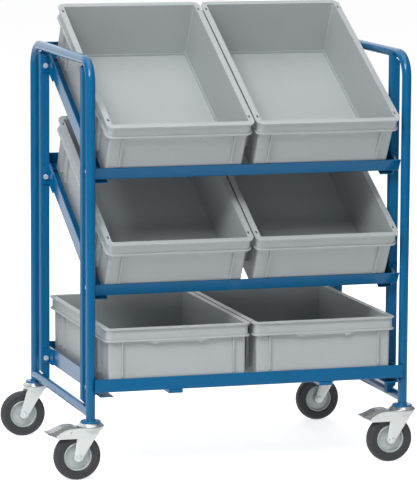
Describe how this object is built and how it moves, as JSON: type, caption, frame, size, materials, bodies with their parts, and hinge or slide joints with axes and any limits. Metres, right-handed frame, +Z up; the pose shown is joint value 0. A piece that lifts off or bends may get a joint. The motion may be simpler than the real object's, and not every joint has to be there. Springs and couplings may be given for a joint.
{
  "type": "box picking trolley",
  "caption": "Tube-framed trolley with leaning and flat shelves holding open stacking boxes, on swivel casters with foot brakes.",
  "frame": {"origin": "centre of the whole trolley's box, on the floor", "axes": "+X to the right of a person facing the open front, +Y to the back, +Z up"},
  "size_m": [1.024, 0.6864, 1.2119],
  "materials": {
    "blue_powder_coat": "gloss powder coat",
    "box_grey": "moulded polypropylene",
    "zinc_plate": "zinc plated pressed steel",
    "bright_zinc": "bright zinc",
    "wheel_steel": "satin grey steel",
    "tyre_rubber": "matt solid rubber"
  },
  "bodies": {
    "frame": {"hoop_left": "blue_powder_coat", "cross_bar_left": "blue_powder_coat", "upright_front_left": "blue_powder_coat", "upright_rear_left": "blue_powder_coat", "hoop_right": "blue_powder_coat", "cross_bar_right": "blue_powder_coat", "upright_front_right": "blue_powder_coat", "upright_rear_right": "blue_powder_coat", "foot_flanges": "blue_powder_coat", "bottom_runners": "blue_powder_coat", "top_front_rail": "blue_powder_coat", "top_rear_rail": "blue_powder_coat", "top_left_rail": "blue_powder_coat", "top_right_rail": "blue_powder_coat", "top_brackets": "blue_powder_coat", "middle_front_rail": "blue_powder_coat", "middle_rear_rail": "blue_powder_coat", "middle_left_rail": "blue_powder_coat", "middle_right_rail": "blue_powder_coat", "middle_brackets": "blue_powder_coat", "bottom_front_rail": "blue_powder_coat", "bottom_rear_rail": "blue_powder_coat", "bottom_left_rail": "blue_powder_coat", "bottom_right_rail": "blue_powder_coat", "bottom_brackets": "blue_powder_coat", "shelf_bolts": "bright_zinc", "shelf_nuts": "bright_zinc", "caster_stems": "zinc_plate", "swivel_ball_rings": "zinc_plate", "swivel_head_front_left": "zinc_plate", "swivel_head_front_right": "zinc_plate", "swivel_head_rear_left": "zinc_plate", "swivel_head_rear_right": "zinc_plate"},
    "caster_front_left": {"fork_front_left": "zinc_plate", "axle_front_left": "bright_zinc", "pedal_pin_front_left": "bright_zinc"},
    "wheel_front_left": {"wheel_rim_front_left": "wheel_steel", "tyre_front_left": "tyre_rubber"},
    "pedal_front_left": {"brake_pedal_front_left": "zinc_plate"},
    "caster_front_right": {"fork_front_right": "zinc_plate", "axle_front_right": "bright_zinc", "pedal_pin_front_right": "bright_zinc"},
    "wheel_front_right": {"wheel_rim_front_right": "wheel_steel", "tyre_front_right": "tyre_rubber"},
    "pedal_front_right": {"brake_pedal_front_right": "zinc_plate"},
    "caster_rear_left": {"fork_rear_left": "zinc_plate", "axle_rear_left": "bright_zinc"},
    "wheel_rear_left": {"wheel_rim_rear_left": "wheel_steel", "tyre_rear_left": "tyre_rubber"},
    "caster_rear_right": {"fork_rear_right": "zinc_plate", "axle_rear_right": "bright_zinc"},
    "wheel_rear_right": {"wheel_rim_rear_right": "wheel_steel", "tyre_rear_right": "tyre_rubber"},
    "top_box_left": {"top_box_left": "box_grey"},
    "top_box_right": {"top_box_right": "box_grey"},
    "middle_box_left": {"middle_box_left": "box_grey"},
    "middle_box_right": {"middle_box_right": "box_grey"},
    "bottom_box_left": {"bottom_box_left": "box_grey"},
    "bottom_box_right": {"bottom_box_right": "box_grey"}
  },
  "joints": [
    {"name": "swivel_front_left", "type": "hinge", "parent": "frame", "child": "caster_front_left", "pos_m": [-0.392, -0.28977, 0.1375], "axis": [0, 0, 1], "continuous": true},
    {"name": "wheel_spin_front_left", "type": "hinge", "parent": "caster_front_left", "child": "wheel_front_left", "pos_m": [-0.429, -0.28977, 0.0625], "axis": [0, 1, 0], "continuous": true},
    {"name": "brake_front_left", "type": "hinge", "parent": "caster_front_left", "child": "pedal_front_left", "pos_m": [-0.45, -0.28977, 0.1295], "axis": [0, -1, 0], "range_deg": [0, 12]},
    {"name": "swivel_front_right", "type": "hinge", "parent": "frame", "child": "caster_front_right", "pos_m": [0.476, -0.28977, 0.1375], "axis": [0, 0, 1], "continuous": true},
    {"name": "wheel_spin_front_right", "type": "hinge", "parent": "caster_front_right", "child": "wheel_front_right", "pos_m": [0.439, -0.28977, 0.0625], "axis": [0, 1, 0], "continuous": true},
    {"name": "brake_front_right", "type": "hinge", "parent": "caster_front_right", "child": "pedal_front_right", "pos_m": [0.418, -0.28977, 0.1295], "axis": [0, -1, 0], "range_deg": [0, 12]},
    {"name": "swivel_rear_left", "type": "hinge", "parent": "frame", "child": "caster_rear_left", "pos_m": [-0.392, 0.30723, 0.1375], "axis": [0, 0, 1], "continuous": true},
    {"name": "wheel_spin_rear_left", "type": "hinge", "parent": "caster_rear_left", "child": "wheel_rear_left", "pos_m": [-0.429, 0.30723, 0.0625], "axis": [0, 1, 0], "continuous": true},
    {"name": "swivel_rear_right", "type": "hinge", "parent": "frame", "child": "caster_rear_right", "pos_m": [0.476, 0.30723, 0.1375], "axis": [0, 0, 1], "continuous": true},
    {"name": "wheel_spin_rear_right", "type": "hinge", "parent": "caster_rear_right", "child": "wheel_rear_right", "pos_m": [0.439, 0.30723, 0.0625], "axis": [0, 1, 0], "continuous": true},
    {"name": "top_box_left_lift", "type": "slide", "parent": "frame", "child": "top_box_left", "axis": [0, -0.4741, 0.8805], "range_m": [0, 0.25]},
    {"name": "top_box_right_lift", "type": "slide", "parent": "frame", "child": "top_box_right", "axis": [0, -0.4741, 0.8805], "range_m": [0, 0.25]},
    {"name": "middle_box_left_lift", "type": "slide", "parent": "frame", "child": "middle_box_left", "axis": [0, -0.4741, 0.8805], "range_m": [0, 0.08]},
    {"name": "middle_box_right_lift", "type": "slide", "parent": "frame", "child": "middle_box_right", "axis": [0, -0.4741, 0.8805], "range_m": [0, 0.08]},
    {"name": "bottom_box_left_lift", "type": "slide", "parent": "frame", "child": "bottom_box_left", "axis": [0, 0, 1], "range_m": [0, 0.06]},
    {"name": "bottom_box_right_lift", "type": "slide", "parent": "frame", "child": "bottom_box_right", "axis": [0, 0, 1], "range_m": [0, 0.06]}
  ]
}
